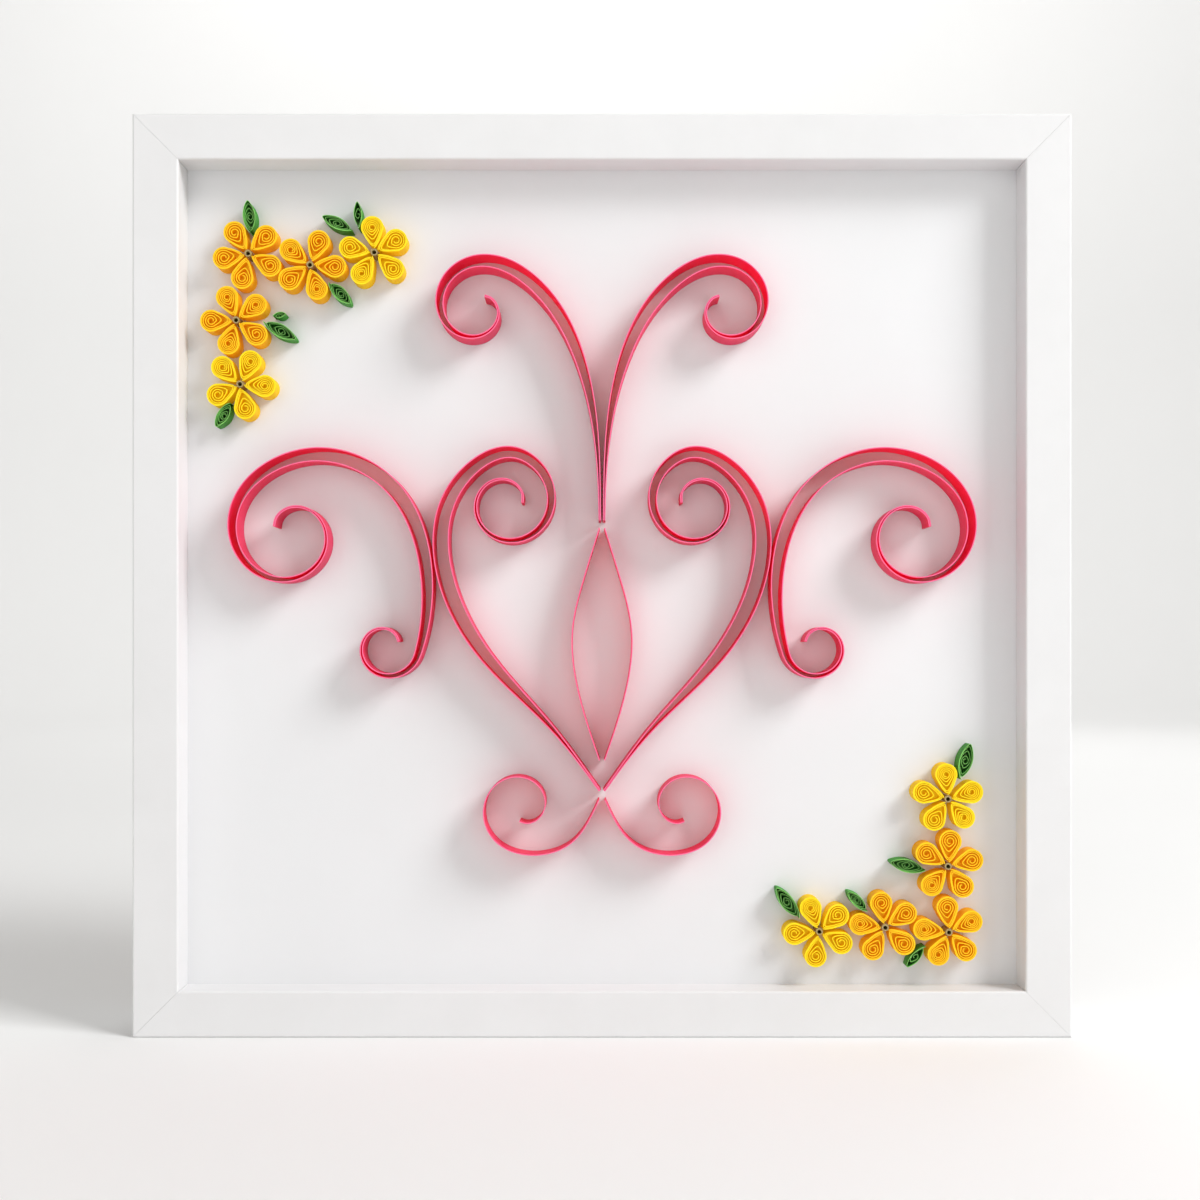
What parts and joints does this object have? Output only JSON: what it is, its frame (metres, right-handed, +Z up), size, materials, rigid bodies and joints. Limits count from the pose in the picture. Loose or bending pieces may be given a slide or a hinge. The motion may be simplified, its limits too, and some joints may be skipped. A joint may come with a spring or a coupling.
{
  "type": "framed quilled paper art",
  "caption": "White box frame holding a mount board with rolled paper flowers in opposite corners and a pink scroll ornament of card strips set on edge.",
  "frame": {"origin": "middle of the frame's bottom edge: centre of the bounding box in X and Y, lowest point in Z", "axes": "+Z up, +X to the right seen from the front, the picture faces -Y and the back with its hanger faces +Y"},
  "size_m": [0.305, 0.032, 0.3],
  "materials": {
    "frame_white": "smooth satin white paint on wood",
    "mount_white": "matt white mount board",
    "backing_brown": "brown hardboard, screen side out",
    "steel_zinc": "zinc plated steel",
    "brass_plate": "brass plated steel",
    "felt_grey": "soft translucent grey rubber",
    "paper_gold": "golden yellow quilling paper",
    "paper_lemon": "lemon yellow quilling paper",
    "paper_umber": "grey-brown quilling paper",
    "paper_green": "green quilling paper",
    "card_pink": "deep pink card strip, smooth faces"
  },
  "bodies": {
    "root": {"top_rail": "frame_white", "bottom_rail": "frame_white", "left_rail": "frame_white", "right_rail": "frame_white", "mount_board": "mount_white", "backing_board": "backing_brown", "corner_v_nails": "steel_zinc", "framer_points": "steel_zinc", "sawtooth_hanger": "brass_plate", "hanger_nails": "brass_plate", "wall_bumpers": "felt_grey", "flower_01_petals": "paper_gold", "flower_01_centre": "paper_umber", "flower_02_petals": "paper_gold", "flower_02_centre": "paper_umber", "flower_03_petals": "paper_lemon", "flower_03_centre": "paper_umber", "flower_04_petals": "paper_gold", "flower_04_centre": "paper_umber", "flower_05_petals": "paper_lemon", "flower_05_centre": "paper_umber", "flower_06_petals": "paper_lemon", "flower_06_centre": "paper_umber", "flower_07_petals": "paper_gold", "flower_07_centre": "paper_umber", "flower_08_petals": "paper_gold", "flower_08_centre": "paper_umber", "flower_09_petals": "paper_gold", "flower_09_centre": "paper_umber", "flower_10_petals": "paper_lemon", "flower_10_centre": "paper_umber", "leaf_01": "paper_green", "leaf_02": "paper_green", "leaf_03": "paper_green", "leaf_04": "paper_green", "leaf_05": "paper_green", "leaf_06": "paper_green", "leaf_07": "paper_green", "leaf_08": "paper_green", "leaf_09": "paper_green", "leaf_10": "paper_green", "leaf_11": "paper_green", "leaf_12": "paper_green", "heart_right_outer": "card_pink", "heart_right_inner": "card_pink", "heart_left_outer": "card_pink", "heart_left_inner": "card_pink", "side_scroll_right_outer": "card_pink", "side_scroll_right_inner": "card_pink", "side_scroll_left_outer": "card_pink", "side_scroll_left_inner": "card_pink", "plume_right_outer": "card_pink", "plume_right_inner": "card_pink", "plume_left_outer": "card_pink", "plume_left_inner": "card_pink", "tail_right": "card_pink", "tail_left": "card_pink", "almond_right": "card_pink", "almond_left": "card_pink"}
  },
  "joints": []
}
